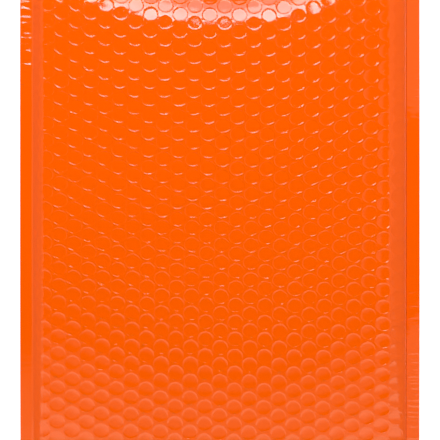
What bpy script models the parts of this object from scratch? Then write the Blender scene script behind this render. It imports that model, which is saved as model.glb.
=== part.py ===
"""A padded mailing envelope, lying on its back with its flap open.

One web of glossy film, laminated to bubble film, is folded once at the bottom and welded down both sides.
The film alone runs on past the mouth as the flap, which carries a strip of adhesive under a release liner.
Metres, +Z up, +Y towards the flap, origin under the middle of the envelope on the surface that it lies on.
"""

from math import cos, radians, sin, sqrt

import bmesh
import bpy
from mathutils import Vector
from mathutils.geometry import delaunay_2d_cdt

# Outline
WIDTH = 0.2413
BODY_LENGTH = 0.343
FLAP_LENGTH = 0.050

# Heat seals down the sides
SEAL_LEFT = 0.0065
SEAL_RIGHT = 0.0077
SEAL_THICKNESS = 0.0008
SEAL_SHARE_LEFT = 0.5
SEAL_SHARE_RIGHT = 0.36
SEAL_DROOP = 0.0004

# Padded walls and the pocket between them
WALL = 0.003
LIP = 0.0015
LIP_LENGTH = 0.012
POCKET_HEIGHT = 0.010
MOUTH_HEIGHT = 0.0110
FOLD_HEIGHT = 0.007
FOLD_RADIUS = 0.0035
CREST_Y = 0.012
POCKET_INSET = 0.003
POCKET_SQUEEZE = 0.4

# Form of the pillow: a tight shoulder beside the left seal and a long round one beside the right
SHOULDER_LEFT = 0.0065
SHOULDER_RIGHT = 0.022
RISE_LEFT = 0.45
RISE_RIGHT = 0.75
ROUND_LEFT = (1.5, 1.0)
ROUND_RIGHT = (2.0, 0.5)
UNDERSIDE_CURL = 0.025
MOUTH_FALL = 12.0
FOLD_FALL = 2.0

# Bubbles, which show outside as shallow round dishes
BUBBLE_PITCH = 0.01033
BUBBLE_DIAMETER = 0.0095
BUBBLE_DISH = 0.0004
BUBBLE_TURN = radians(-0.8)
BUBBLE_X = 0.0003
BUBBLE_Y = -0.0564
BUBBLE_MARGIN = 0.004

# Flap film, adhesive strip and release liner
FILM = 0.0005
FLAP_SETTLE = 0.030
FLAP_STEP = 0.0125
LINER_THICKNESS = 0.0003
LINER_WIDTH = 0.025
LINER_SIDE = 0.004
LINER_END = 0.008
ADHESIVE_THICKNESS = 0.0003
ADHESIVE_WIDTH = 0.017
ADHESIVE_SIDE = 0.009
CLEARANCE = 0.0003

# Fineness of the sheets and of their edges
SHEET_STEP = 0.020
EDGE_STEP = 0.0018
CUT_EDGE = 0.0004

# Worked out from the sizes above
FULL_HEIGHT = 2 * WALL + POCKET_HEIGHT
FOLD_Y = -(BODY_LENGTH + FLAP_LENGTH) / 2
MOUTH_Y = FOLD_Y + BODY_LENGTH
FLAP_END_Y = MOUTH_Y + FLAP_LENGTH
PAD_LEFT = -WIDTH / 2 + SEAL_LEFT
PAD_RIGHT = WIDTH / 2 - SEAL_RIGHT
PAD_MIDDLE = (PAD_LEFT + PAD_RIGHT) / 2
PAD_HALF = (PAD_RIGHT - PAD_LEFT) / 2

ORANGE = (0.98, 0.114, 0.001, 1)
LINER_WHITE = (0.86, 0.87, 0.88, 1)
ADHESIVE_CLEAR = (0.85, 0.74, 0.5, 1)


def inside_seal(x):
    """How far x lies inside the nearer seal line; below zero on the seal itself."""
    return PAD_HALF - abs(x - PAD_MIDDLE)


def fade(distance, length):
    """Rises from 0 to 1 over the length, smooth at both ends."""
    t = min(1, max(0, distance / length))
    return t * t * (3 - 2 * t)


def crest_height(y):
    """Height of the upper face along the middle: highest at the crest, lower at the mouth and at the fold."""
    if y > CREST_Y:
        t = min(1, (y - CREST_Y) / (MOUTH_Y - CREST_Y))
        return FULL_HEIGHT - (FULL_HEIGHT - MOUTH_HEIGHT) * t**MOUTH_FALL
    t = (CREST_Y - y) / (CREST_Y - FOLD_Y)
    return FULL_HEIGHT - (FULL_HEIGHT - FOLD_HEIGHT) * t**FOLD_FALL


def seal_middle(x, y):
    """Height of the middle of the seal: a share of the height beside it, drooping towards the outer edge."""
    droop = SEAL_DROOP * max(0, -inside_seal(x)) / max(SEAL_LEFT, SEAL_RIGHT)
    across = fade(x - PAD_LEFT, 2 * PAD_HALF)
    share = SEAL_SHARE_LEFT + (SEAL_SHARE_RIGHT - SEAL_SHARE_LEFT) * across
    return share * crest_height(y) - droop


def shoulder(x):
    """How far the upper face has risen at x: the share of the rise, and how much of it is in the shoulder."""
    left = x < PAD_MIDDLE
    length, share = (SHOULDER_LEFT, RISE_LEFT) if left else (SHOULDER_RIGHT, RISE_RIGHT)
    inner, outer = ROUND_LEFT if left else ROUND_RIGHT
    left_over = 1 - min(1, max(0, inside_seal(x)) / length)
    return (1 - left_over**inner) ** outer, share


def underside(x, y):
    """Height of the outer film underneath: on the surface in the middle, curling up to the seals."""
    rest = max(0, 1 - max(0, inside_seal(x)) / UNDERSIDE_CURL)
    return (seal_middle(x, y) - SEAL_THICKNESS / 2) * rest**3


def upper_face(x, y):
    """Height of the outer film on top, without the bubbles."""
    risen, share = shoulder(x)
    crown = 1 - (1 - max(0, inside_seal(x)) / PAD_HALF) ** 2
    full = share * risen + (1 - share) * crown
    seal_top = seal_middle(x, y) + SEAL_THICKNESS / 2
    return seal_top + (crest_height(y) - seal_top) * full


def outer_faces(x, y):
    """Lower and upper outer face at a point, closing in a round edge at the bottom fold."""
    low, high = underside(x, y), upper_face(x, y)
    q = min(1, max(0, (y - FOLD_Y) / FOLD_RADIUS))
    half = max(SEAL_THICKNESS / 2, (high - low) / 2 * sqrt(1 - (1 - q) ** 2))
    middle = (low + high) / 2
    return middle - half, middle + half


def turned(u, v):
    """A point of the bubble film's own grid, turned and set in place on the envelope."""
    c, s = cos(BUBBLE_TURN), sin(BUBBLE_TURN)
    return BUBBLE_X + c * u - s * v, BUBBLE_Y + s * u + c * v


def bubble_distance(x, y):
    """Distance from a point to the middle of the nearest bubble."""
    c, s = cos(BUBBLE_TURN), sin(BUBBLE_TURN)
    u = c * (x - BUBBLE_X) + s * (y - BUBBLE_Y)
    v = -s * (x - BUBBLE_X) + c * (y - BUBBLE_Y)
    row, column = BUBBLE_PITCH, BUBBLE_PITCH * sqrt(3)
    near = []
    for shift in (0, 0.5):
        du = u - (round(u / column - shift) + shift) * column
        dv = v - (round(v / row - shift) + shift) * row
        near.append(sqrt(du * du + dv * dv))
    return min(near)


def dish(x, y):
    """How deep the film is dished over a bubble, fading out towards the seals, the fold and the mouth."""
    deep = max(0, 1 - (2 * bubble_distance(x, y) / BUBBLE_DIAMETER) ** 2)
    edge = min(inside_seal(x), y - FOLD_Y - FOLD_RADIUS, MOUTH_Y - y)
    return BUBBLE_DISH * deep * fade(edge - BUBBLE_MARGIN / 2, BUBBLE_MARGIN)


def flap_underside(x, y):
    """The flap's film starts at the curled underside and settles flat beyond the mouth."""
    settled = max(0, 1 - max(0, y - MOUTH_Y) / FLAP_SETTLE)
    return underside(x, min(y, MOUTH_Y)) * settled**3


def body_faces(x, y):
    """Lower and upper face of the whole web: two padded walls up to the mouth and film alone past it."""
    if y > MOUTH_Y + CUT_EDGE / 2:
        return flap_underside(x, y), flap_underside(x, y) + FILM
    low, high = outer_faces(x, y)
    return low + dish(x, y), high - dish(x, y)


def pocket_faces(x, y):
    """Lower and upper face of the pocket: the walls are squeezed at the sides and thin at the mouth's lip."""
    low, high = outer_faces(x, min(y, MOUTH_Y))
    lip = fade(MOUTH_Y - y, LIP_LENGTH)
    wall = min(LIP + (WALL - LIP) * lip, POCKET_SQUEEZE * (high - low))
    return low + wall, high - wall


def spaced(start, end, step):
    """Even places from start to end, about a step apart."""
    count = max(1, round((end - start) / step))
    return [start + (end - start) * i / count for i in range(count + 1)]


def border_places():
    """Places for the body's edges and the flap: the seals, the round fold and the mouth's cut edge."""
    seal_x = [-WIDTH / 2, PAD_LEFT, PAD_LEFT + EDGE_STEP, PAD_RIGHT - EDGE_STEP, PAD_RIGHT, WIDTH / 2]
    fold_y = [FOLD_Y + FOLD_RADIUS * share for share in (0, 0.15, 0.5, 1)]
    flap_y = spaced(MOUTH_Y + CUT_EDGE, FLAP_END_Y, FLAP_STEP)
    inner_x = spaced(PAD_LEFT + EDGE_STEP, PAD_RIGHT - EDGE_STEP, BUBBLE_PITCH)
    edge_x = sorted(set(seal_x + inner_x[1:-1]))
    places = [(x, y) for x in edge_x for y in [*fold_y, MOUTH_Y, *flap_y]]
    side_y = spaced(fold_y[-1], MOUTH_Y, BUBBLE_PITCH)[1:-1]
    return places + [(x, y) for x in seal_x for y in side_y]


def bubble_places():
    """Middles of the bubbles and the points where three of them meet, which together are one triangular grid."""
    across, along = BUBBLE_PITCH / sqrt(3), BUBBLE_PITCH / 2
    reach = int((BODY_LENGTH + WIDTH) / across)
    found = []
    for j in range(-reach, reach + 1):
        for i in range(-reach, reach + 1):
            x, y = turned((i + 0.5 * (j % 2)) * across, j * along)
            if min(inside_seal(x), y - FOLD_Y - FOLD_RADIUS, MOUTH_Y - y) > BUBBLE_MARGIN:
                found.append((x, y))
    return found


def mesh_object(name, mesh, folder):
    obj = bpy.data.objects.new(name, mesh)
    folder.objects.link(obj)
    return obj


def body_sheet(folder):
    """The body's outline as one flat sheet, with a triangle corner at each bubble and each gap between bubbles."""
    points = [Vector(p) for p in border_places() + bubble_places()]
    verts, _, faces, *_ = delaunay_2d_cdt(points, [], [], 0, 1e-6)
    mesh = bpy.data.meshes.new("body_sheet")
    mesh.from_pydata([(v.x, v.y, 0) for v in verts], [], faces)
    return mesh_object("body_sheet", mesh, folder)


def plain_sheet(name, folder, xs, ys):
    """A flat rectangular sheet divided at the places given, so that it can be bent."""
    columns, rows = len(xs) - 1, len(ys) - 1
    mesh = bpy.data.meshes.new(name)
    bm = bmesh.new()
    bmesh.ops.create_grid(bm, x_segments=columns, y_segments=rows, size=0.5)
    for v in bm.verts:
        v.co.x = xs[round((v.co.x + 0.5) * columns)]
        v.co.y = ys[round((v.co.y + 0.5) * rows)]
    bm.to_mesh(mesh)
    bm.free()
    return mesh_object(name, mesh, folder)


def solid_between(sheet, faces):
    """Thickens a flat sheet into a solid whose two sides lie at the heights that faces(x, y) gives."""
    thicken = sheet.modifiers.new("thickness", "SOLIDIFY")
    thicken.thickness = SEAL_THICKNESS
    thicken.offset = 0
    bpy.context.view_layer.update()
    graph = bpy.context.evaluated_depsgraph_get()
    mesh = bpy.data.meshes.new_from_object(sheet.evaluated_get(graph))
    mesh.name = sheet.name
    for v in mesh.vertices:
        low, high = faces(v.co.x, v.co.y)
        v.co.z = high if v.co.z > 0 else low
    sheet.modifiers.clear()
    sheet.data = mesh
    outwards = bmesh.new()
    outwards.from_mesh(mesh)
    bmesh.ops.recalc_face_normals(outwards, faces=outwards.faces)
    bmesh.ops.triangulate(outwards, faces=outwards.faces)
    outwards.to_mesh(mesh)
    outwards.free()
    return sheet


def cut(obj, cutter):
    change = obj.modifiers.new(cutter.name, "BOOLEAN")
    change.object = cutter
    change.operation = "DIFFERENCE"
    change.solver = "EXACT"
    cutter.hide_render = True
    cutter.display_type = "WIRE"


def material(name, colour, roughness):
    made = bpy.data.materials.new(name)
    made.use_nodes = True
    shader = made.node_tree.nodes["Principled BSDF"]
    shader.inputs["Base Color"].default_value = colour
    shader.inputs["Roughness"].default_value = roughness
    shader.inputs["Metallic"].default_value = 0
    return made


def pocket(folder):
    """The space between the two padded walls, open past the mouth."""
    left, right = PAD_LEFT + POCKET_INSET, PAD_RIGHT - POCKET_INSET
    flat_left, flat_right = PAD_LEFT + SHOULDER_LEFT, PAD_RIGHT - SHOULDER_RIGHT
    steep_right = right - (right - flat_right) / 3
    xs = [left, *spaced(flat_left, flat_right, SHEET_STEP), steep_right, right]
    near, lip = FOLD_Y + FOLD_RADIUS + POCKET_INSET, MOUTH_Y - LIP_LENGTH
    ys = [*spaced(near, lip, SHEET_STEP), MOUTH_Y, MOUTH_Y + SHEET_STEP]
    return solid_between(plain_sheet("pocket", folder, xs, ys), pocket_faces)


def envelope_body(parts, cutters):
    """Front wall, back wall, bottom fold, side seals and flap film, which are one welded web."""
    body = solid_between(body_sheet(parts), body_faces)
    body.name = "envelope_body"
    cut(body, pocket(cutters))
    body.data.materials.append(material("orange film", ORANGE, 0.12))
    return body


def strip_on_flap(name, parts, side, middle_y, width, lift, thickness):
    """A thin strip that lies on the flap and follows it, lifted by what is under it."""
    xs = spaced(-WIDTH / 2 + side, WIDTH / 2 - side, SHEET_STEP)
    ys = spaced(middle_y - width / 2, middle_y + width / 2, width / 2)
    sheet = plain_sheet(name, parts, xs, ys)

    def faces(x, y):
        low = flap_underside(x, y) + FILM + lift
        return low, low + thickness

    return solid_between(sheet, faces)


def main():
    for obj in list(bpy.data.objects):
        bpy.data.objects.remove(obj, do_unlink=True)
    parts = bpy.data.collections.new("padded envelope")
    cutters = bpy.data.collections.new("cutters")
    for folder in (parts, cutters):
        bpy.context.scene.collection.children.link(folder)

    envelope_body(parts, cutters)
    strip_y = FLAP_END_Y - LINER_END - LINER_WIDTH / 2
    adhesive = strip_on_flap(
        "adhesive_strip", parts, ADHESIVE_SIDE, strip_y, ADHESIVE_WIDTH, CLEARANCE, ADHESIVE_THICKNESS
    )
    adhesive.data.materials.append(material("adhesive", ADHESIVE_CLEAR, 0.3))
    liner_lift = 2 * CLEARANCE + ADHESIVE_THICKNESS
    liner = strip_on_flap(
        "release_liner", parts, LINER_SIDE, strip_y, LINER_WIDTH, liner_lift, LINER_THICKNESS
    )
    liner.data.materials.append(material("liner", LINER_WHITE, 0.35))


main()
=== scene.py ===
from math import cos, pi, radians, sin, sqrt, tan

import bpy
import numpy as np
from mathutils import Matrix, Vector
from mathutils.geometry import delaunay_2d_cdt


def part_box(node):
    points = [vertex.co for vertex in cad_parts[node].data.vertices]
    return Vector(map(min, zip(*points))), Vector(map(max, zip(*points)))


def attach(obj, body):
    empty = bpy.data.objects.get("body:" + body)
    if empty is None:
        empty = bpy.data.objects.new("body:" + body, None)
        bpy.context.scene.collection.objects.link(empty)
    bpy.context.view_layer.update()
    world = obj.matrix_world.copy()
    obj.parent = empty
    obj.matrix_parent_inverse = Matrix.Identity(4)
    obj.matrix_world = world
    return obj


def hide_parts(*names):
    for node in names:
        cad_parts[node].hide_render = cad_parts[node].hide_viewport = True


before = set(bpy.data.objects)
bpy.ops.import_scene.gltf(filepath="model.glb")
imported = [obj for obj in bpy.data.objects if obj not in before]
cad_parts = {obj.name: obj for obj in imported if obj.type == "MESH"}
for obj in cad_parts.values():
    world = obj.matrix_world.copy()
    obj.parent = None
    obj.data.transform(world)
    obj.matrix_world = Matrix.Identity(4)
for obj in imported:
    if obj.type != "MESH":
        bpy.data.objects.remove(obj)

bl_info = {
    "name": "Padded envelope",
    "version": (1, 0, 0),
    "blender": (4, 5, 0),
    "location": "3D View > Sidebar > Envelope",
    "description": "A glossy padded mailing envelope, lying on its back with its flap open",
    "category": "Add Mesh",
}

MM = 0.001
BODY_LOW, BODY_HIGH = (Vector(corner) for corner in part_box("envelope_body"))
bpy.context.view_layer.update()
FLAP_LENGTH = 50 * MM
MOUTH_Y = BODY_HIGH.y - FLAP_LENGTH


# Sizes and colours that a user would change

class EnvelopeSizes(bpy.types.PropertyGroup):
    seal_left: bpy.props.FloatProperty(
        name="Left seal", description="Width of the heat seal on the left",
        default=7.8 * MM, min=2 * MM, unit="LENGTH")
    seal_right: bpy.props.FloatProperty(
        name="Right seal", description="Width of the heat seal on the right",
        default=7.7 * MM, min=2 * MM, unit="LENGTH")
    seal_thickness: bpy.props.FloatProperty(
        name="Seal thickness", description="Thickness of the two welded films together",
        default=0.8 * MM, min=0.2 * MM, unit="LENGTH")
    mouth_height: bpy.props.FloatProperty(
        name="Mouth height", description="Height of the upper film at the middle of the mouth",
        default=11 * MM, min=4 * MM, unit="LENGTH")
    fold_height: bpy.props.FloatProperty(
        name="Fold height", description="Height of the rounded bottom fold",
        default=7 * MM, min=3 * MM, unit="LENGTH")
    web: bpy.props.FloatProperty(
        name="Wall without bubbles",
        description="Thickness of the film and the base of the bubble lining",
        default=0.9 * MM, min=0.3 * MM, unit="LENGTH")
    flap_film: bpy.props.FloatProperty(
        name="Flap film", description="Thickness of the flap's film",
        default=0.35 * MM, min=0.1 * MM, unit="LENGTH")
    bubble_pitch: bpy.props.FloatProperty(
        name="Bubble pitch", description="Distance between the middles of neighbouring bubbles",
        default=10.26 * MM, min=5 * MM, unit="LENGTH")
    bubble_diameter: bpy.props.FloatProperty(
        name="Bubble diameter", description="Width of one bubble",
        default=9.5 * MM, min=4 * MM, unit="LENGTH")
    bubble_height: bpy.props.FloatProperty(
        name="Bubble height", description="Height of a bubble inside the pocket",
        default=2.4 * MM, min=0.5 * MM, unit="LENGTH")
    bubble_turn: bpy.props.FloatProperty(
        name="Bubble turn", description="Turn of the rows of bubbles against the envelope",
        default=radians(-0.75), subtype="ANGLE")
    dish_depth: bpy.props.FloatProperty(
        name="Dish depth", description="Depth of the shallow dish that the film makes over a bubble",
        default=0.082 * MM, min=0, unit="LENGTH")
    lip_depth: bpy.props.FloatProperty(
        name="Dish rim depth", description="Depth of the steeper rim round a dish",
        default=0.077 * MM, min=0, unit="LENGTH")
    dish_squash: bpy.props.FloatProperty(
        name="Dish squash",
        description="Length of a dish's half toward the fold as a share of its radius",
        default=0.84, min=0.5, max=1, subtype="FACTOR")
    mouth_slack: bpy.props.FloatProperty(
        name="Mouth slack",
        description="Depth of the dishes' bowls beside the mouth as a share of the others",
        default=0.35, min=0, max=1, subtype="FACTOR")


class EnvelopeColours(bpy.types.PropertyGroup):
    film: bpy.props.FloatVectorProperty(
        name="Film", description="Colour of the glossy film",
        default=(1.0, 0.111, 0.0), size=3, min=0, max=1, subtype="COLOR")
    lining: bpy.props.FloatVectorProperty(
        name="Bubble lining", description="Colour of the bubble film with the outer film behind it",
        default=(0.95, 0.48, 0.26), size=3, min=0, max=1, subtype="COLOR")
    adhesive: bpy.props.FloatVectorProperty(
        name="Adhesive", description="Colour of the adhesive strip",
        default=(0.82, 0.62, 0.36), size=3, min=0, max=1, subtype="COLOR")
    liner: bpy.props.FloatVectorProperty(
        name="Release liner", description="Colour of the release liner",
        default=(0.80, 0.80, 0.79), size=3, min=0, max=1, subtype="COLOR")
    floor: bpy.props.FloatVectorProperty(
        name="Floor", description="Colour of the floor",
        default=(0.8, 0.8, 0.8), size=3, min=0, max=1, subtype="COLOR")


# Form of the envelope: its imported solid's, with the film's finer shape

SEAL_SHARE = (0.62, 0.46)
SEAL_DROOP = 0.02 * MM
SEAL_CURL, SEAL_CURL_LOW = tan(radians(8)), tan(radians(6))
SEAL_CURL_FROM, SEAL_CURL_LENGTH = 48 * MM, 60 * MM
SEAL_FLUTTER = tan(radians(6))
FLUTTER_WAVES = 0.45 * MM, 1.9 * MM
SEAL_CURL_LOW_FROM, SEAL_CURL_LOW_LENGTH = -35 * MM, 80 * MM
SHOULDER_LEFT = 6.6 * MM
SHOULDER_RIGHT = 11 * MM
RISE_LEFT, RISE_RIGHT = 0.7, 0.85
ROUND_LEFT, ROUND_RIGHT = (1.4, 1.0), (1.15, 0.6)
UNDERSIDE_CURL = 25 * MM
MOUTH_FALL = 12.0
FOLD_FALL = 2.0
CURL_MIDDLE = 3 * MM
CURL_LEFT, CURL_RIGHT = 2.35, 3.1
CURL_Y = 134 * MM
FOLD_RADIUS = 3.5 * MM
CREST_Y = 12 * MM
FLAP_SETTLE = 30 * MM
ADHESIVE_THICKNESS = 0.2 * MM
LINER_LIFT, LINER_THICKNESS, LINER_WAVE = 0.22 * MM, 0.12 * MM, 0.05 * MM
BUBBLE_ORIGIN = (0.4 * MM, -55.95 * MM)
BUBBLE_MARGIN = 2 * MM
WALL_GAP = 0.01 * MM

# Dishes over the bubbles, whose rims are crisper toward the fold than toward the mouth
RIM_POWERS = (18.0, 13.0)
RIM_BLEND = -1.0 * MM, 2.5 * MM
MOUTH_SLACK_FROM, MOUTH_SLACK_TO = 20 * MM, 70 * MM
LOOSE_FROM, LOOSE_LENGTH, LOOSE_SHARE = 84 * MM, 12 * MM, 2.2
DISH_LEAN = 0.03
UNEVENNESS = 0.2
DISH_CORNER = radians(8.4)
EDGE_CORNER = radians(50)

# Ripples over the film and crinkles across the seals, where a scale is in waves a metre
RIPPLE, CRINKLE = 0.012 * MM, 0.40 * MM
RIPPLE_SCALE = 190.0
BROAD_SCALE, BROAD_SHARE = 28.0, 9.0
CRINKLE_SCALE, CRINKLE_LEVEL, CRINKLE_STRETCH = 560.0, 0.45, 0.12
PATCH_SCALE, PATCH_RANGE, PATCH_STRETCH, PATCH_LAYER = 90.0, (0.25, 0.5), 2.0, 3.0
CRINKLE_LEAST, CRINKLE_RISE, CRINKLE_RIGHT = 0.1, 60 * MM, 0.8
CRINKLE_FADE, CRINKLE_END = 1.0 * MM, 5 * MM
FILM_SEED = 4.0

# Bubbles inside the pocket
BUBBLE_SEGMENTS, BUBBLE_RINGS = 12, 6
BUBBLE_FLATTENING = 0.85
BUBBLE_ROOM, BUBBLE_LEAST = 0.42, 0.15


def fade(share):
    t = np.clip(share, 0, 1)
    return t * t * (3 - 2 * t)


class Pillow:
    """Heights of the envelope's films at whole arrays of places."""

    def __init__(self, sizes):
        self.sizes = sizes
        self.left, self.right = BODY_LOW.x + sizes.seal_left, BODY_HIGH.x - sizes.seal_right
        self.middle, self.half = (self.left + self.right) / 2, (self.right - self.left) / 2

    def inside(self, x):
        return self.half - np.abs(x - self.middle)

    def crest(self, y, x=None):
        """Height along the middle. Given x too, the fall to the mouth starts later beside the seals."""
        s = self.sizes
        late = 0 if x is None else self.lateness(x, y)
        up = np.clip((y - late - CREST_Y) / (MOUTH_Y - CREST_Y), 0, 1)
        down = np.clip((CREST_Y - y) / (CREST_Y - BODY_LOW.y), 0, 1)
        top = BODY_HIGH.z
        return top - (top - s.mouth_height) * up**MOUTH_FALL - (top - s.fold_height) * down**FOLD_FALL

    def lateness(self, x, y):
        off = x - CURL_MIDDLE
        bend = np.where(off < 0, CURL_LEFT, CURL_RIGHT)
        return bend * off**2 * (1 - fade((y - CURL_Y) / (MOUTH_Y - CURL_Y)))

    def seal_middle(self, x, y):
        s = self.sizes
        droop = SEAL_DROOP * np.clip(-self.inside(x), 0, None) / max(s.seal_left, s.seal_right)
        across = fade((x - self.left) / (2 * self.half))
        turn = fade((y - SEAL_CURL_FROM) / SEAL_CURL_LENGTH)
        short, long = (np.sin(y / wave) for wave in FLUTTER_WAVES)
        flutter = SEAL_FLUTTER * turn * (1 - turn) * short * long
        curled = SEAL_CURL * turn + flutter
        curled = curled + SEAL_CURL_LOW * fade((SEAL_CURL_LOW_FROM - y) / SEAL_CURL_LOW_LENGTH)
        lean = np.where(x > 0, curled, 0) * np.clip(-self.inside(x), 0, None)
        share = SEAL_SHARE[0] + (SEAL_SHARE[1] - SEAL_SHARE[0]) * across
        return share * self.crest(y, x) - droop - lean

    def underside(self, x, y):
        rest = np.clip(1 - np.clip(self.inside(x), 0, None) / UNDERSIDE_CURL, 0, None)
        return (self.seal_middle(x, y) - self.sizes.seal_thickness / 2) * rest**3

    def upper(self, x, y):
        is_left = x < self.middle
        s = np.clip(self.inside(x), 0, None)
        over_left = 1 - np.clip(s / SHOULDER_LEFT, 0, 1)
        over_right = 1 - np.clip(s / SHOULDER_RIGHT, 0, 1)
        risen_left = (1 - over_left ** ROUND_LEFT[0]) ** ROUND_LEFT[1]
        risen_right = (1 - over_right ** ROUND_RIGHT[0]) ** ROUND_RIGHT[1]
        share = np.where(is_left, RISE_LEFT, RISE_RIGHT)
        crown = 1 - (1 - s / self.half) ** 2
        full = share * np.where(is_left, risen_left, risen_right) + (1 - share) * crown
        seal_top = self.seal_middle(x, y) + self.sizes.seal_thickness / 2
        return seal_top + (self.crest(y, x) - seal_top) * full

    def outer(self, x, y):
        """Lower and upper outer face, which close in a round edge at the bottom fold."""
        low, high = self.underside(x, y), self.upper(x, y)
        q = np.clip((y - BODY_LOW.y) / FOLD_RADIUS, 0, 1)
        half = np.maximum(self.sizes.seal_thickness / 2, (high - low) / 2 * np.sqrt(1 - (1 - q) ** 2))
        middle = (low + high) / 2
        return middle - half, middle + half

    def wall(self, x, y):
        """Thickness of a wall without its bubbles: half of the seal where the two walls are welded."""
        low, high = self.outer(x, y)
        return np.minimum(self.sizes.web, (high - low) / 2 - WALL_GAP)

    def flap(self, x, y):
        """Underside of the flap, which settles flat beyond the mouth."""
        settled = np.clip(1 - np.clip(y - MOUTH_Y, 0, None) / FLAP_SETTLE, 0, None)
        return self.underside(x, np.minimum(y, MOUTH_Y)) * settled**3

    def padded_edge(self, x, y):
        """Distance to the nearest edge of the padded part."""
        return np.minimum(np.minimum(self.inside(x), y - BODY_LOW.y - FOLD_RADIUS), MOUTH_Y - y)


# Plain mesh helpers

NEAREST_PLACES = 1e-7


def spaced(start, end, step):
    return np.linspace(start, end, max(1, round((end - start) / step)) + 1)


def bubble_middles(pillow, margin):
    """Middles of the bubbles inside the padded part, on one triangular grid."""
    s = pillow.sizes
    reach = int(0.45 / s.bubble_pitch)
    i, j = np.meshgrid(np.arange(-reach, reach + 1), np.arange(-reach, reach + 1))
    u = i * s.bubble_pitch * sqrt(3) / 2
    v = (j + 0.5 * (i % 2)) * s.bubble_pitch
    c, n = cos(s.bubble_turn), sin(s.bubble_turn)
    x = (BUBBLE_ORIGIN[0] + c * u - n * v).ravel()
    y = (BUBBLE_ORIGIN[1] + n * u + c * v).ravel()
    keep = pillow.padded_edge(x, y) > margin
    return np.stack([x[keep], y[keep]], 1)


def rings(middles, sizes, pattern):
    """Places on rings round every bubble: pattern holds (share of the radius, number of places)."""
    places = [middles]
    c, n = cos(sizes.bubble_turn), sin(sizes.bubble_turn)
    for share, count in pattern:
        turn = np.arange(count) * 2 * pi / count + share
        u, v = np.cos(turn), np.sin(turn)
        v = np.where(v < 0, v * sizes.dish_squash, v)
        ring = np.stack([c * u - n * v, n * u + c * v], 1) * sizes.bubble_diameter / 2 * share
        places.append((middles[:, None] + ring[None]).reshape(-1, 2))
    return np.concatenate(places)


def edge_loop(xs, ys):
    """Places round a rectangle, in order."""
    low, high = ys[0], ys[-1]
    return np.array(
        [(x, low) for x in xs[:-1]]
        + [(xs[-1], y) for y in ys[:-1]]
        + [(x, high) for x in xs[::-1][:-1]]
        + [(xs[0], y) for y in ys[::-1][:-1]]
    )


def strip_places(xs, ys):
    """All crossings of the given places across and along."""
    gx, gy = np.meshgrid(xs, ys)
    return np.stack([gx.ravel(), gy.ravel()], 1)


def triangulated(loop, inner):
    """Triangles over a loop of places and the places inside it. The loop keeps the first numbers."""
    places = [Vector(place) for place in np.concatenate([loop, inner]).tolist()]
    verts, _, faces, origins, *_ = delaunay_2d_cdt(places, [], [], 0, NEAREST_PLACES)
    order = [min(o) for o in origins]
    flat = np.array([tuple(v) for v in verts])
    rank = np.argsort(order)
    number = np.empty(len(order), int)
    number[rank] = np.arange(len(order))
    return flat[rank], number[np.array(faces)]


def slab(name, loop, outer_places, inner_places, outer_height, inner_height, outer_is_up):
    """A closed thin wall: a fine outer face, a coarser inner face and a strip round their edge."""
    outer, outer_faces = triangulated(loop, outer_places)
    inner, inner_faces = triangulated(loop, inner_places)
    first = len(outer)
    points = np.concatenate([
        np.column_stack([outer, outer_height(outer[:, 0], outer[:, 1])]),
        np.column_stack([inner, inner_height(inner[:, 0], inner[:, 1])]),
    ])
    count = len(loop)
    ring = [(k, (k + 1) % count) for k in range(count)]
    up, down = outer_faces.tolist(), inner_faces[:, ::-1].tolist()
    if not outer_is_up:
        up, down = outer_faces[:, ::-1].tolist(), inner_faces.tolist()
    faces = up + [[v + first for v in face] for face in down]
    for a, b in ring:
        side = [a, a + first, b + first, b]
        faces.append(side if outer_is_up else side[::-1])
    mesh = bpy.data.meshes.new(name)
    mesh.from_pydata(points.tolist(), [], faces)
    is_outer = np.zeros(len(points))
    is_outer[:first] = 1
    return mesh, is_outer


def attribute(mesh, name, values):
    layer = mesh.attributes.new(name, "FLOAT", "POINT")
    layer.data.foreach_set("value", np.asarray(values, dtype=np.float32))


def mesh_object(name, mesh):
    obj = bpy.data.objects.new(name, mesh)
    bpy.context.scene.collection.objects.link(obj)
    return obj


def sharp_edges(mesh, angle):
    mesh.set_sharp_from_angle(angle=angle)
    sharp = np.zeros(len(mesh.edges), dtype=bool)
    mesh.attributes["sharp_edge"].data.foreach_get("value", sharp)
    return sharp


def crease(mesh, angle, pillow=None):
    """Sharp edges at sharp corners and, on a padded wall, at the crisp edge round every dish."""
    sharp = sharp_edges(mesh, angle)
    if pillow:
        places = np.empty(len(mesh.vertices) * 3, dtype=np.float32)
        mesh.vertices.foreach_get("co", places)
        inside = pillow.padded_edge(places[0::3], places[1::3]) > BUBBLE_MARGIN
        ends = np.empty(len(mesh.edges) * 2, dtype=np.int32)
        mesh.edges.foreach_get("vertices", ends)
        dished = inside[ends[0::2]] & inside[ends[1::2]]
        sharp = sharp | (dished & sharp_edges(mesh, DISH_CORNER))
        mesh.attributes["sharp_edge"].data.foreach_set("value", sharp)


def finished(obj, name, angle=None, pillow=None):
    """The evaluated object as a plain mesh, with no modifier left on it."""
    bpy.context.view_layer.update()
    graph = bpy.context.evaluated_depsgraph_get()
    mesh = bpy.data.meshes.new_from_object(obj.evaluated_get(graph))
    mesh.name = name
    obj.modifiers.clear()
    obj.data = mesh
    mesh.polygons.foreach_set("use_smooth", [True] * len(mesh.polygons))
    if angle is not None:
        crease(mesh, angle, pillow)
    for layer in [a.name for a in mesh.attributes if a.name in ("press", "seal", "lift", "flip")]:
        mesh.attributes.remove(mesh.attributes[layer])
    mesh.update()


# Node trees

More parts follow.
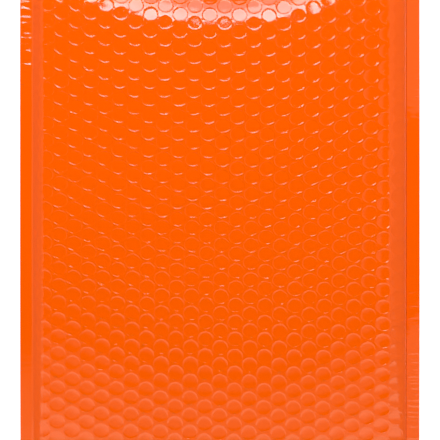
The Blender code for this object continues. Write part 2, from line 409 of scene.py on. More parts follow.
class Wires:
    """Adds nodes to a tree, so that sums read in order."""

    def __init__(self, tree):
        self.tree = tree

    def node(self, kind, **settings):
        made = self.tree.nodes.new(kind)
        for key, value in settings.items():
            setattr(made, key, value)
        return made

    def feed(self, socket, value):
        if isinstance(value, bpy.types.NodeSocket):
            self.tree.links.new(value, socket)
        elif value is not None:
            socket.default_value = value

    def math(self, operation, *values):
        made = self.node("ShaderNodeMath", operation=operation)
        for socket, value in zip(made.inputs, values):
            self.feed(socket, value)
        return made.outputs[0]

    def add(self, a, b):
        return self.math("ADD", a, b)

    def sub(self, a, b):
        return self.math("SUBTRACT", a, b)

    def mul(self, a, b):
        return self.math("MULTIPLY", a, b)

    def smooth(self, value, low, high, to_low=0.0, to_high=1.0):
        made = self.node("ShaderNodeMapRange", interpolation_type="SMOOTHSTEP")
        for name, x in (("Value", value), ("From Min", low), ("From Max", high),
                        ("To Min", to_low), ("To Max", to_high)):
            self.feed(made.inputs[name], x)
        return made.outputs[0]

    def vector(self, x, y, z=0.0):
        made = self.node("ShaderNodeCombineXYZ")
        for socket, value in zip(made.inputs, (x, y, z)):
            self.feed(socket, value)
        return made.outputs[0]

    def split(self, vector):
        made = self.node("ShaderNodeSeparateXYZ")
        self.feed(made.inputs[0], vector)
        return made.outputs

    def noise(self, vector, scale, detail=1.0):
        made = self.node("ShaderNodeTexNoise")
        self.feed(made.inputs["Vector"], vector)
        self.feed(made.inputs["Scale"], scale)
        self.feed(made.inputs["Detail"], detail)
        return made.outputs[0]

    def named(self, name):
        made = self.node("GeometryNodeInputNamedAttribute", data_type="FLOAT")
        made.inputs["Name"].default_value = name
        return made.outputs[0]


def geometry_tree(name, inputs):
    """A geometry tree with named inputs; gives the tree, its wires, its input sockets and its output."""
    tree = bpy.data.node_groups.new(name, "GeometryNodeTree")
    tree.interface.new_socket("Geometry", in_out="INPUT", socket_type="NodeSocketGeometry")
    tree.interface.new_socket("Geometry", in_out="OUTPUT", socket_type="NodeSocketGeometry")
    for label, kind in inputs:
        tree.interface.new_socket(label, in_out="INPUT", socket_type=kind)
    wires = Wires(tree)
    return tree, wires, wires.node("NodeGroupInput").outputs, wires.node("NodeGroupOutput")


def apply_tree(obj, tree, values):
    """Puts a tree on an object and sets its inputs by their identifiers."""
    modifier = obj.modifiers.new(tree.name, "NODES")
    modifier.node_group = tree
    names = {s.name: s.identifier for s in tree.interface.items_tree if s.in_out == "INPUT"}
    for label, value in values.items():
        modifier[names[label]] = value
    obj.update_tag()


def nearest_bubble(w, sockets, x, y):
    """Offset to the nearest bubble's middle, the distance as a share of its radius, and its chances."""
    c = w.math("COSINE", sockets["Bubble turn"])
    s = w.math("SINE", sockets["Bubble turn"])
    dx, dy = w.sub(x, sockets["Bubble x"]), w.sub(y, sockets["Bubble y"])
    u = w.add(w.mul(c, dx), w.mul(s, dy))
    v = w.sub(w.mul(c, dy), w.mul(s, dx))
    row = sockets["Bubble pitch"]
    column = w.mul(row, sqrt(3))
    found = []
    for shift in (0.0, 0.5):
        su, sv = w.sub(u, w.mul(column, shift)), w.sub(v, w.mul(row, shift))
        du = w.math("WRAP", su, w.mul(column, 0.5), w.mul(column, -0.5))
        dv = w.math("WRAP", sv, w.mul(row, 0.5), w.mul(row, -0.5))
        far = w.math("SQRT", w.add(w.mul(du, du), w.mul(dv, dv)))
        i = w.math("ROUND", w.math("DIVIDE", w.sub(su, du), column))
        j = w.math("ROUND", w.math("DIVIDE", w.sub(sv, dv), row))
        found.append((far, du, dv, w.vector(i, j, 1.0 + 10 * shift)))
    second = w.math("LESS_THAN", found[1][0], found[0][0])

    def pick(a, b, kind):
        made = w.node("GeometryNodeSwitch", input_type=kind)
        w.feed(made.inputs[0], second)
        w.feed(made.inputs[1], a)
        w.feed(made.inputs[2], b)
        return made.outputs[0]

    cell = pick(found[0][3], found[1][3], "VECTOR")
    chance = w.node("ShaderNodeTexWhiteNoise", noise_dimensions="4D")
    w.feed(chance.inputs["Vector"], cell)
    w.feed(chance.inputs["W"], sockets["Seed"])
    numbers = w.split(chance.outputs["Color"])
    du, dv = pick(found[0][1], found[1][1], "FLOAT"), pick(found[0][2], found[1][2], "FLOAT")
    low = w.math("DIVIDE", w.math("MINIMUM", dv, 0.0), sockets["Dish squash"])
    tall = w.add(w.math("MAXIMUM", dv, 0.0), low)
    far = w.math("SQRT", w.add(w.mul(du, du), w.mul(tall, tall)))
    share = w.math("DIVIDE", w.mul(far, 2.0), sockets["Bubble diameter"])
    return du, dv, share, numbers


def film_tree():
    """Draws the film in over every bubble, ripples it slightly and crinkles it along the seals."""
    floats = ["Bubble pitch", "Bubble diameter", "Bubble x", "Bubble y", "Bubble turn", "Dish squash",
              "Dish depth", "Rim depth", "Mouth slack", "Mouth", "Loose from", "Unevenness", "Ripple",
              "Crinkle", "Seed"]
    tree, w, group_in, group_out = geometry_tree(
        "drawn film", [(n, "NodeSocketFloat") for n in floats] + [("Material", "NodeSocketMaterial")])
    sockets = {n: group_in[n] for n in floats}
    position = w.node("GeometryNodeInputPosition").outputs[0]
    x, y, _ = w.split(position)
    du, dv, share, numbers = nearest_bubble(w, sockets, x, y)
    inner = w.math("MINIMUM", share, 1.0)
    bowl = w.sub(1.0, w.mul(inner, inner))
    power = w.smooth(dv, *RIM_BLEND, *RIM_POWERS)
    rim = w.sub(1.0, w.math("POWER", inner, power))
    slack = w.smooth(w.sub(sockets["Mouth"], y), MOUTH_SLACK_FROM, MOUTH_SLACK_TO,
                     sockets["Mouth slack"], 1.0)
    loose_to = w.add(sockets["Loose from"], LOOSE_LENGTH)
    slack = w.mul(slack, w.smooth(x, sockets["Loose from"], loose_to, 1.0, LOOSE_SHARE))
    uneven = sockets["Unevenness"]
    off = [w.sub(number, 0.5) for number in numbers]
    bowl_depth = w.mul(w.mul(sockets["Dish depth"], slack), w.add(1.0, w.mul(uneven, off[0])))
    rim_depth = w.mul(sockets["Rim depth"], w.add(1.0, w.mul(uneven, off[1])))
    lean = w.add(w.mul(du, off[1]), w.mul(dv, off[2]))
    lean = w.mul(w.mul(lean, uneven), w.mul(bowl, DISH_LEAN))
    dish = w.add(w.add(w.mul(bowl_depth, bowl), w.mul(rim_depth, rim)), lean)
    flat = w.vector(x, y, 0.0)
    ripple = w.mul(w.sub(w.noise(flat, RIPPLE_SCALE, 1.0), 0.5), sockets["Ripple"])
    broad = w.mul(w.sub(w.noise(flat, BROAD_SCALE, 0.0), 0.5), w.mul(sockets["Ripple"], BROAD_SHARE))
    down = w.mul(w.add(dish, w.add(ripple, broad)), w.named("press"))
    across = w.vector(w.mul(x, CRINKLE_STRETCH), y, 0.0)
    ridge = w.sub(w.noise(across, CRINKLE_SCALE, 1.0), CRINKLE_LEVEL)
    spots = w.noise(w.vector(w.mul(x, PATCH_STRETCH), y, PATCH_LAYER), PATCH_SCALE, 0.0)
    patch = w.smooth(spots, *PATCH_RANGE)
    crinkle = w.mul(w.mul(w.mul(ridge, patch), sockets["Crinkle"]), w.named("seal"))
    place = w.node("GeometryNodeSetPosition")
    w.feed(place.inputs["Geometry"], group_in["Geometry"])
    w.feed(place.inputs["Offset"], w.vector(0.0, 0.0, w.sub(crinkle, down)))
    realized = w.node("GeometryNodeRealizeInstances")
    w.feed(realized.inputs[0], place.outputs[0])
    paint = w.node("GeometryNodeSetMaterial")
    w.feed(paint.inputs["Geometry"], realized.outputs[0])
    w.feed(paint.inputs["Material"], group_in["Material"])
    w.feed(group_out.inputs[0], paint.outputs[0])
    return tree


def lining_tree():
    """Puts one closed bubble on every point that it is given."""
    tree, w, group_in, group_out = geometry_tree("bubble lining", [
        ("Bubble diameter", "NodeSocketFloat"), ("Bubble height", "NodeSocketFloat"),
        ("Material", "NodeSocketMaterial")])
    ball = w.node("GeometryNodeMeshUVSphere")
    ball.inputs["Segments"].default_value = BUBBLE_SEGMENTS
    ball.inputs["Rings"].default_value = BUBBLE_RINGS
    ball.inputs["Radius"].default_value = 1.0
    z = w.split(w.node("GeometryNodeInputPosition").outputs[0])[2]
    squash = w.node("GeometryNodeSetPosition")
    w.feed(squash.inputs["Geometry"], ball.outputs["Mesh"])
    flatter = w.mul(w.math("MINIMUM", z, 0.0), -BUBBLE_FLATTENING)
    w.feed(squash.inputs["Offset"], w.vector(0.0, 0.0, flatter))
    dots = w.node("GeometryNodeMeshToPoints")
    w.feed(dots.inputs["Mesh"], group_in["Geometry"])
    half = w.mul(group_in["Bubble diameter"], 0.5)
    lift = w.mul(group_in["Bubble height"], w.named("lift"))
    spread = w.node("GeometryNodeInstanceOnPoints")
    w.feed(spread.inputs["Points"], dots.outputs[0])
    w.feed(spread.inputs["Instance"], squash.outputs[0])
    w.feed(spread.inputs["Rotation"], w.vector(w.mul(w.named("flip"), pi), 0.0, 0.0))
    w.feed(spread.inputs["Scale"], w.vector(half, half, lift))
    realized = w.node("GeometryNodeRealizeInstances")
    w.feed(realized.inputs[0], spread.outputs[0])
    paint = w.node("GeometryNodeSetMaterial")
    w.feed(paint.inputs["Geometry"], realized.outputs[0])
    w.feed(paint.inputs["Material"], group_in["Material"])
    w.feed(group_out.inputs[0], paint.outputs[0])
    return tree


# Materials

BUMP_DEPTH = 0.05 * MM
GRAIN_RANGE = 0.2, 0.8


def shader_group(name, inputs, outputs):
    tree = bpy.data.node_groups.new(name, "ShaderNodeTree")
    for label, default in inputs:
        socket = tree.interface.new_socket(label, in_out="INPUT", socket_type="NodeSocketFloat")
        socket.default_value = default
    for label, kind in outputs:
        tree.interface.new_socket(label, in_out="OUTPUT", socket_type=kind)
    w = Wires(tree)
    return tree, w, w.node("NodeGroupInput").outputs, w.node("NodeGroupOutput").inputs


def surface_group():
    """Variation over a surface: a mask for its colour, a mask for its gloss and a bumped normal."""
    tree, w, given, result = shader_group(
        "film surface",
        [("Cloud size", 0.04), ("Grain size", 0.0012), ("Bump", 0.15), ("Stretch", 1.0)],
        [("Cloud", "NodeSocketFloat"), ("Grain", "NodeSocketFloat"), ("Normal", "NodeSocketVector")])
    x, y, z = w.split(w.node("ShaderNodeTexCoord").outputs["Object"])
    place = w.vector(w.mul(x, given["Stretch"]), y, z)
    cloud = w.noise(place, w.math("DIVIDE", 1.0, given["Cloud size"]), 2.0)
    grain = w.noise(place, w.math("DIVIDE", 1.0, given["Grain size"]), 2.0)
    bump = w.node("ShaderNodeBump")
    w.feed(bump.inputs["Strength"], given["Bump"])
    bump.inputs["Distance"].default_value = BUMP_DEPTH
    w.feed(bump.inputs["Height"], grain)
    w.feed(result["Cloud"], cloud)
    w.feed(result["Grain"], grain)
    w.feed(result["Normal"], bump.outputs[0])
    return tree


def material(name, colour, group, values, tint, gloss, **sockets):
    """A material whose colour and gloss vary with the surface group's masks: tint is how much darker it
    gets in places, and gloss its roughness from the smoothest place to the roughest."""
    made = bpy.data.materials.new(name)
    made.use_nodes = True
    w = Wires(made.node_tree)
    shader = made.node_tree.nodes["Principled BSDF"]
    surface = w.node("ShaderNodeGroup")
    surface.node_tree = group
    for label, value in values.items():
        surface.inputs[label].default_value = value
    ramp = w.node("ShaderNodeMix", data_type="RGBA")
    for socket, factor in ((ramp.inputs[6], 1 - tint), (ramp.inputs[7], 1.0)):
        socket.default_value = tuple(min(1.0, c * factor) for c in colour) + (1.0,)
    w.feed(ramp.inputs[0], surface.outputs["Cloud"])
    w.feed(shader.inputs["Base Color"], ramp.outputs[2])
    w.feed(shader.inputs["Roughness"], w.smooth(surface.outputs["Grain"], *GRAIN_RANGE, *gloss))
    w.feed(shader.inputs["Normal"], surface.outputs["Normal"])
    for label, value in sockets.items():
        shader.inputs[label.replace("_", " ")].default_value = value
    return made


def envelope_materials(scene):
    """The materials of the envelope's pieces, made once and found again by name."""
    if "orange film" in bpy.data.materials:
        return
    colours = scene.envelope_colours
    group = surface_group()
    material("orange film", colours.film, group,
             {"Cloud size": 0.05, "Grain size": 0.0015, "Bump": 0.02}, 0.02, (0.03, 0.06), IOR=1.45,
             Specular_Tint=(1.0, 1.0, 0.75, 1.0))
    material("bubble film", colours.lining, group,
             {"Cloud size": 0.02, "Grain size": 0.002, "Bump": 0.1}, 0.1, (0.14, 0.3), IOR=1.45)
    material("adhesive", colours.adhesive, group,
             {"Cloud size": 0.006, "Grain size": 0.0012, "Bump": 0.5}, 0.12, (0.25, 0.45), IOR=1.5)
    material("release liner", colours.liner, group,
             {"Cloud size": 0.03, "Grain size": 0.0009, "Bump": 0.12}, 0.05, (0.3, 0.42), IOR=1.45)


# Pieces

def film_values(scene, name):
    s = scene.envelope_sizes
    return {
        "Bubble pitch": s.bubble_pitch, "Bubble diameter": s.bubble_diameter,
        "Bubble x": BUBBLE_ORIGIN[0], "Bubble y": BUBBLE_ORIGIN[1], "Bubble turn": s.bubble_turn,
        "Dish squash": s.dish_squash, "Dish depth": s.dish_depth, "Rim depth": s.lip_depth,
        "Mouth slack": s.mouth_slack, "Mouth": MOUTH_Y, "Loose from": LOOSE_FROM,
        "Unevenness": UNEVENNESS, "Ripple": RIPPLE, "Crinkle": CRINKLE, "Seed": FILM_SEED,
        "Material": bpy.data.materials[name],
    }


def wall_places(pillow, fine, pattern, far_y):
    """Places over a wall: rings round the bubbles, and close rows along the seals, fold and mouth."""
    s = pillow.sizes
    middles = bubble_middles(pillow, -6 * MM)
    dots = rings(middles, s, pattern)
    dots = dots[pillow.padded_edge(dots[:, 0], dots[:, 1]) > BUBBLE_MARGIN]
    low, mouth = BODY_LOW.y, MOUTH_Y
    along = spaced(low + 0.2 * fine, far_y - 0.2 * fine, fine / 2)
    left = np.concatenate([spaced(BODY_LOW.x + 0.5 * MM, pillow.left, fine * 1.4),
                           pillow.left + BUBBLE_MARGIN * np.array([0.15, 0.4, 0.7])])
    right = np.concatenate([spaced(pillow.right, BODY_HIGH.x - 0.5 * MM, fine * 1.4),
                            pillow.right - BUBBLE_MARGIN * np.array([0.15, 0.4, 0.7])])
    inner_x = spaced(pillow.left + BUBBLE_MARGIN, pillow.right - BUBBLE_MARGIN, fine)
    fold = low + FOLD_RADIUS * np.array([0.04, 0.12, 0.25, 0.42, 0.65, 1.0, 1.3])
    ends = np.concatenate([fold, mouth - BUBBLE_MARGIN * np.array([0.75, 0.35, 0.1])])
    return np.concatenate([strip_places(left, along), strip_places(right, along),
                           strip_places(inner_x, ends), dots])


def masks(mesh, is_outer, pillow, press):
    """How much each point is drawn in over the bubbles, and how much it crinkles with the seal."""
    co = np.empty(len(mesh.vertices) * 3)
    mesh.vertices.foreach_get("co", co)
    x, y = co[0::3], co[1::3]
    pad = fade((pillow.padded_edge(x, y) - BUBBLE_MARGIN * 0.3) / BUBBLE_MARGIN)
    attribute(mesh, "press", press * pad * is_outer)
    edge = np.clip(-pillow.inside(x) / CRINKLE_FADE, 0, 1)
    left = CRINKLE_LEAST + (1 - CRINKLE_LEAST) * fade((y - SEAL_CURL_FROM) / CRINKLE_RISE)
    tight = np.where(x < 0, left, CRINKLE_RIGHT)
    seal = tight * fade(edge) * (1 - fade((y - MOUTH_Y) / CRINKLE_END))
    attribute(mesh, "seal", seal)


def keep(obj, node, slot):
    """Hides the solid that a piece stands for and makes the piece move with the envelope; its finish,
    slot, is not used.
    """
    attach(obj, "root")
    if node:
        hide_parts(node)


class ENVELOPE_OT_front_wall(bpy.types.Operator):
    """Make the front wall: glossy film drawn in over the bubbles, with its side seals"""

    bl_idname = "envelope.front_wall"
    bl_label = "Front wall"

    def execute(self, context):
        envelope_materials(context.scene)
        pillow = Pillow(context.scene.envelope_sizes)
        fine = 1.0 * MM
        xs, ys = spaced(BODY_LOW.x, BODY_HIGH.x, fine), spaced(BODY_LOW.y, MOUTH_Y, fine)
        pattern = ((0.4, 10), (0.66, 18), (0.8, 24),
                   *((share, 28) for share in (0.875, 0.92, 0.955, 0.98, 1.0)))
        inner = strip_places(spaced(BODY_LOW.x, BODY_HIGH.x, 4 * MM)[1:-1],
                             spaced(BODY_LOW.y, MOUTH_Y, 5 * MM)[1:-1])
        mesh, is_outer = slab(
            "front_wall", edge_loop(xs, ys), wall_places(pillow, fine, pattern, MOUTH_Y), inner,
            lambda x, y: pillow.outer(x, y)[1],
            lambda x, y: pillow.outer(x, y)[1] - pillow.wall(x, y), True)
        masks(mesh, is_outer, pillow, 1.0)
        obj = mesh_object("front_wall", mesh)
        apply_tree(obj, film_tree(), film_values(context.scene, "orange film"))
        finished(obj, "front_wall", EDGE_CORNER, pillow)
        keep(obj, "envelope_body", "film")
        return {"FINISHED"}


class ENVELOPE_OT_back_wall(bpy.types.Operator):
    """Make the back wall with the flap, which is the film alone run on past the mouth"""

    bl_idname = "envelope.back_wall"
    bl_label = "Back wall and flap"

    def execute(self, context):
        envelope_materials(context.scene)
        s = context.scene.envelope_sizes
        pillow = Pillow(s)
        fine = 2.0 * MM
        xs, ys = spaced(BODY_LOW.x, BODY_HIGH.x, fine), spaced(BODY_LOW.y, BODY_HIGH.y, fine)
        pattern = ((0.5, 8), (0.85, 14), (1.0, 16), (1.04, 16))
        outer_places = np.concatenate([
            wall_places(pillow, fine, pattern, MOUTH_Y),
            strip_places(spaced(BODY_LOW.x, BODY_HIGH.x, 3 * MM)[1:-1],
                         spaced(MOUTH_Y + 1 * MM, BODY_HIGH.y, 3 * MM)[:-1])])
        lip = MOUTH_Y + np.array([-1.2, -0.3, 0.0, 0.3, 1.2]) * MM
        inner = strip_places(spaced(BODY_LOW.x, BODY_HIGH.x, 4 * MM)[1:-1],
                             np.concatenate([spaced(BODY_LOW.y, MOUTH_Y - 3 * MM, 5 * MM)[1:], lip,
                                             spaced(MOUTH_Y + 4 * MM, BODY_HIGH.y, 4 * MM)[:-1]]))

        def under(x, y):
            return np.where(y > MOUTH_Y, pillow.flap(x, y), pillow.outer(x, np.minimum(y, MOUTH_Y))[0])

        def over(x, y):
            wall = pillow.wall(x, np.minimum(y, MOUTH_Y))
            film = s.flap_film + (wall - s.flap_film) * (1 - fade((y - MOUTH_Y) / (0.3 * MM) + 0.5))
            return under(x, y) + film

        mesh, is_outer = slab("back_wall", edge_loop(xs, ys), outer_places, inner, under, over, False)
        masks(mesh, is_outer, pillow, -1.0)
        obj = mesh_object("back_wall", mesh)
        apply_tree(obj, film_tree(), film_values(context.scene, "orange film"))
        finished(obj, "back_wall", EDGE_CORNER, pillow)
        keep(obj, "envelope_body", "film")
        return {"FINISHED"}


class ENVELOPE_OT_bubble_lining(bpy.types.Operator):
    """Make the bubbles that line the pocket"""

    bl_idname = "envelope.bubble_lining"
    bl_label = "Bubble lining"

    def execute(self, context):
        envelope_materials(context.scene)
        s = context.scene.envelope_sizes
        pillow = Pillow(s)
        middles = bubble_middles(pillow, 5 * MM)
        turn = np.arange(8) * pi / 4
        x = middles[:, :1] + s.bubble_diameter / 2 * np.append(np.cos(turn), 0)
        y = middles[:, 1:] + s.bubble_diameter / 2 * np.append(np.sin(turn), 0)
        low, high = pillow.outer(x, y)
        wall = pillow.wall(x, y)
        floor, roof = (low + wall).max(axis=1), (high - wall).min(axis=1)
        lift = np.clip(BUBBLE_ROOM * (roof - floor) / s.bubble_height, 0.0, 1.0)
        keeps = lift > BUBBLE_LEAST
        x, y, floor, roof, lift = (a[keeps] for a in (*middles.T, floor, roof, lift))
        points = np.concatenate([np.column_stack([x, y, floor]), np.column_stack([x, y, roof])])
        mesh = bpy.data.meshes.new("bubble_lining")
        mesh.from_pydata(points.tolist(), [], [])
        attribute(mesh, "lift", np.concatenate([lift, lift]))
        attribute(mesh, "flip", np.concatenate([np.zeros(len(lift)), np.ones(len(lift))]))
        obj = mesh_object("bubble_lining", mesh)
        apply_tree(obj, lining_tree(), {
            "Bubble diameter": s.bubble_diameter, "Bubble height": s.bubble_height,
            "Material": bpy.data.materials["bubble film"]})
        finished(obj, "bubble_lining")
        keep(obj, None, "film")
        return {"FINISHED"}


def flap_strip(name, lift, thickness, wave):
    """A thin strip that lies along the flap, a little wavy, as wide and long as its solid."""
    low, high = (Vector(c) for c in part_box(name))
    pillow = Pillow(bpy.context.scene.envelope_sizes)
    xs, ys = spaced(low.x, high.x, 1.5 * MM), spaced(low.y, high.y, 1.0 * MM)
    inner = strip_places(xs[1:-1], ys[1:-1])

    def under(x, y):
        long_waves = np.sin(x * 61 + 0.7) * np.sin(x * 23 + y * 40)
        short_waves = 0.5 * np.sin(x * 140 + y * 90)
        return pillow.flap(x, y) + lift + wave * (1.2 + (long_waves + short_waves))

    def over(x, y):
        return under(x, y) + thickness

    mesh, _ = slab(name, edge_loop(xs, ys), inner, inner, over, under, True)
    return mesh_object(name, mesh)


class ENVELOPE_OT_adhesive_strip(bpy.types.Operator):
    """Make the adhesive strip along the flap"""

    bl_idname = "envelope.adhesive_strip"
    bl_label = "Adhesive strip"

    def execute(self, context):
        envelope_materials(context.scene)
        s = context.scene.envelope_sizes
        obj = flap_strip("adhesive_strip", s.flap_film, ADHESIVE_THICKNESS, 0.0)
        obj.data.materials.append(bpy.data.materials["adhesive"])
        finished(obj, "adhesive_strip", EDGE_CORNER)
        keep(obj, "adhesive_strip", "adhesive")
        return {"FINISHED"}


class ENVELOPE_OT_release_liner(bpy.types.Operator):
    """Make the release liner over the adhesive"""

    bl_idname = "envelope.release_liner"
    bl_label = "Release liner"

    def execute(self, context):
        envelope_materials(context.scene)
        s = context.scene.envelope_sizes
        obj = flap_strip("release_liner", s.flap_film + LINER_LIFT, LINER_THICKNESS, LINER_WAVE)
        obj.data.materials.append(bpy.data.materials["release liner"])
        finished(obj, "release_liner", EDGE_CORNER)
        keep(obj, "release_liner", "liner")
        return {"FINISHED"}


# Floor, lamps, reflections and camera

CAMERA_HEIGHT = 1.6
PICTURE_WIDTH = 265.9 * MM
PICTURE_Y = 0.5 * MM
SENSOR = 36.0
LOOK_HEIGHT = 8 * MM
FLOOR_REACH, FLOOR_DROP, FLOOR_GLOW = 3.0, 0.05 * MM, 0.75
LAMP_HEIGHT = 1.2
LAMP_PLACE, LAMP_SIZE, LAMP_TILT, LAMP_POWER = (-0.05, 0.45, LAMP_HEIGHT), (0.7, 0.5), -0.36, 12.5
BOX_FACE_CORNERS = (-0.21, 0.2975), (0.10, 0.43)
BOX_FACE_COLOUR, BOX_FACE_BLEND, BOX_FACE_GLOWS = (0.71, 0.71, 1.0), (0.31, 0.38), (23.0, 15.5)
BOX_RIM_CORNERS = (-0.24, 0.43), (0.12, 0.56)
BOX_RIM_COLOUR, BOX_RIM_GLOW = (0.75, 0.71, 1.0), 6.0
WHITE = (1.0, 1.0, 1.0)
ROOM_LOW, ROOM_HIGH, CEILING_HEIGHT = (-1.6, -1.6), (1.6, 1.4), 1.3
WALL_HALF, WALL_MIDDLE, SIDE_GLOW = 0.6, 0.65, 0.5
END_BLEND, END_GLOWS = (-0.5, 0.3), (1.0, 0.25)
SURROUNDINGS_LIGHT, SURROUNDINGS_SEEN = 0.36, 1.0

# Pale bands on the ceiling: where each starts and ends, and its strength there
NEAR_BEND, NEAR_BEND_END = 1.7, 0.06
NEAR_BANDS = (-0.36, -0.27, 0.6, 0.0), (-0.52, -0.38, 1.7, 0.0)
SIDE_BANDS = (0.26, 0.33, 0.0, 0.65), (-0.72, -0.55, 0.7, 0.0)
FAR_BAND = 1.0, 1.4, 0.0, 1.0


def card(name, low, high, height, shader):
    """A plain flat card over the envelope that only reflections see."""
    mesh = bpy.data.meshes.new(name)
    corners = [(low[0], low[1], height), (high[0], low[1], height),
               (high[0], high[1], height), (low[0], high[1], height)]
    mesh.from_pydata(corners, [], [(0, 3, 2, 1)])
    mesh.materials.append(shader)
    obj = mesh_object(name, mesh)
    obj.visible_camera = False
    obj.visible_diffuse = False
    obj.visible_shadow = False
    obj.visible_transmission = False
    return obj


def glowing(name, colour, strength):
    """A material that only glows, with its wires and its light node."""
    made = bpy.data.materials.new(name)
    made.use_nodes = True
    tree = made.node_tree
    tree.nodes.remove(tree.nodes["Principled BSDF"])
    w = Wires(tree)
    light = w.node("ShaderNodeEmission")
    light.inputs["Color"].default_value = (*colour, 1)
    light.inputs["Strength"].default_value = strength
    w.feed(tree.nodes["Material Output"].inputs[0], light.outputs[0])
    return made, w, light


def graded(name, colour, axis, blend, glows):
    """A glow that changes along the card from one strength to another."""
    made, w, light = glowing(name, colour, 1.0)
    place = w.split(w.node("ShaderNodeTexCoord").outputs["Object"])[axis]
    w.feed(light.inputs["Strength"], w.smooth(place, *blend, *glows))
    return made


def ceiling_shader():
    """Dark over the middle, with pale bands toward the bottom fold, both sides and the far end."""
    made, w, light = glowing("ceiling", WHITE, 1.0)
    x, y, _ = w.split(w.node("ShaderNodeTexCoord").outputs["Object"])
    bent = w.sub(y, w.mul(w.math("MINIMUM", w.mul(x, x), NEAR_BEND_END), NEAR_BEND))
    near = w.add(*(w.smooth(bent, *band) for band in NEAR_BANDS))
    side = w.math("MAXIMUM", *(w.smooth(x, *band) for band in SIDE_BANDS))
    far = w.smooth(y, *FAR_BAND)
    glow = w.math("MAXIMUM", w.math("MAXIMUM", near, side), far)
    w.feed(light.inputs["Strength"], glow)
    return made


def seen_directly(w):
    """1 for what the camera sees, also in a reflection or through something, and 0 for what lights."""
    path = w.node("ShaderNodeLightPath")
    seen = w.math("MAXIMUM", path.outputs["Is Camera Ray"], path.outputs["Is Glossy Ray"])
    return w.math("MAXIMUM", seen, path.outputs["Is Transmission Ray"])


def floor_shader(colour):
    """White to the camera and in reflections, and plain where it only catches the envelope's shadow."""
    made = bpy.data.materials.new("floor")
    made.use_nodes = True
    tree = made.node_tree
    w = Wires(tree)
    shader = tree.nodes["Principled BSDF"]
    shader.inputs["Base Color"].default_value = (*colour, 1)
    shader.inputs["Roughness"].default_value = 0.9
    shader.inputs["Specular IOR Level"].default_value = 0.0
    light = w.node("ShaderNodeEmission")
    w.feed(light.inputs["Strength"], w.mul(seen_directly(w), FLOOR_GLOW))
    both = w.node("ShaderNodeAddShader")
    w.feed(both.inputs[0], shader.outputs[0])
    w.feed(both.inputs[1], light.outputs[0])
    w.feed(tree.nodes["Material Output"].inputs[0], both.outputs[0])
    return made


def lay_floor(colour):
    mesh = bpy.data.meshes.new("floor")
    reach = FLOOR_REACH
    corners = [(-reach, -reach, 0), (reach, -reach, 0), (reach, reach, 0), (-reach, reach, 0)]
    mesh.from_pydata(corners, [], [(0, 1, 2, 3)])
    mesh.materials.append(floor_shader(colour))
    obj = mesh_object("floor", mesh)
    obj.location.z = -FLOOR_DROP


def hang_cards():
    """What the glossy film mirrors: the soft box, the ceiling and the walls."""
    face = graded("soft box cloth", BOX_FACE_COLOUR, 1, BOX_FACE_BLEND, BOX_FACE_GLOWS)
    card("soft_box_face", *BOX_FACE_CORNERS, LAMP_HEIGHT, face)
    rim, *_ = glowing("soft box rim", BOX_RIM_COLOUR, BOX_RIM_GLOW)
    card("soft_box_rim", *BOX_RIM_CORNERS, LAMP_HEIGHT, rim)
    card("ceiling", ROOM_LOW, ROOM_HIGH, CEILING_HEIGHT, ceiling_shader())
    grey, *_ = glowing("side walls", WHITE, SIDE_GLOW)
    for x in (ROOM_LOW[0], ROOM_HIGH[0]):
        wall = card("side_wall", (-WALL_HALF, ROOM_LOW[1]), (WALL_HALF, ROOM_HIGH[1]), 0.0, grey)
        wall.rotation_euler = (0, pi / 2, 0)
        wall.location = (x, 0, WALL_MIDDLE)
    shaded = graded("end walls", WHITE, 0, END_BLEND, END_GLOWS)
    for y in (ROOM_LOW[1], ROOM_HIGH[1]):
        wall = card("end_wall", (-WALL_HALF, ROOM_LOW[0]), (WALL_HALF, ROOM_HIGH[0]), 0.0, shaded)
        wall.rotation_euler = (pi / 2, pi / 2, 0)
        wall.location = (0, y, WALL_MIDDLE)


def hang_lamp(scene):
    light = bpy.data.lights.new("soft_box", "AREA")
    light.shape = "RECTANGLE"
    light.size, light.size_y = LAMP_SIZE
    light.energy = LAMP_POWER
    box = bpy.data.objects.new("soft_box", light)
    box.location = LAMP_PLACE
    box.rotation_euler = (LAMP_TILT, 0, 0)
    box.visible_glossy = False
    scene.collection.objects.link(box)


def set_surroundings(scene):
    """Plain white to the camera and in reflections, and dimmer as a light."""
    world = bpy.data.worlds.new("surroundings")
    scene.world = world
    world.use_nodes = True
    w = Wires(world.node_tree)
    back = world.node_tree.nodes["Background"]
    back.inputs["Color"].default_value = (*WHITE, 1)
    strength = w.smooth(seen_directly(w), 0.0, 1.0, SURROUNDINGS_LIGHT, SURROUNDINGS_SEEN)
    w.feed(back.inputs["Strength"], strength)


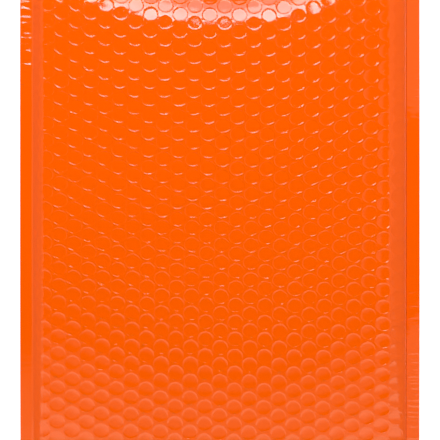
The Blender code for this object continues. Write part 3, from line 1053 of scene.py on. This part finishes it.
def place_camera(scene):
    """Straight above the envelope, as in the photograph."""
    eye = bpy.data.cameras.new("camera")
    eye.sensor_width = SENSOR
    eye.lens = SENSOR * CAMERA_HEIGHT / PICTURE_WIDTH
    eye.clip_end = 20
    obj = bpy.data.objects.new("camera", eye)
    obj.location = (0, PICTURE_Y, CAMERA_HEIGHT + LOOK_HEIGHT)
    scene.collection.objects.link(obj)
    scene.camera = obj


class ENVELOPE_OT_stage(bpy.types.Operator):
    """Make the floor, the lamps, the surroundings and the camera"""

    bl_idname = "envelope.stage"
    bl_label = "Stage"

    def execute(self, context):
        scene = context.scene
        lay_floor(scene.envelope_colours.floor)
        hang_cards()
        hang_lamp(scene)
        set_surroundings(scene)
        place_camera(scene)
        scene.view_settings.view_transform = "Standard"
        return {"FINISHED"}


PIECES = (ENVELOPE_OT_front_wall, ENVELOPE_OT_back_wall, ENVELOPE_OT_bubble_lining,
          ENVELOPE_OT_adhesive_strip, ENVELOPE_OT_release_liner, ENVELOPE_OT_stage)


class ENVELOPE_PT_sidebar(bpy.types.Panel):
    """Lists the envelope's sizes, colours and pieces"""

    bl_idname = "ENVELOPE_PT_sidebar"
    bl_label = "Padded envelope"
    bl_space_type = "VIEW_3D"
    bl_region_type = "UI"
    bl_category = "Envelope"

    def draw(self, context):
        for group in (context.scene.envelope_sizes, context.scene.envelope_colours):
            for name in group.__annotations__:
                self.layout.prop(group, name)
        for piece in PIECES:
            self.layout.operator(piece.bl_idname)


CLASSES = (EnvelopeSizes, EnvelopeColours, *PIECES, ENVELOPE_PT_sidebar)


def register():
    for cls in CLASSES:
        bpy.utils.register_class(cls)
    bpy.types.Scene.envelope_sizes = bpy.props.PointerProperty(type=EnvelopeSizes)
    bpy.types.Scene.envelope_colours = bpy.props.PointerProperty(type=EnvelopeColours)


def unregister():
    del bpy.types.Scene.envelope_sizes
    del bpy.types.Scene.envelope_colours
    for cls in reversed(CLASSES):
        bpy.utils.unregister_class(cls)


def main():
    register()
    for piece in PIECES:
        group, name = piece.bl_idname.split(".")
        getattr(getattr(bpy.ops, group), name)()


if __name__ == "__main__":
    main()
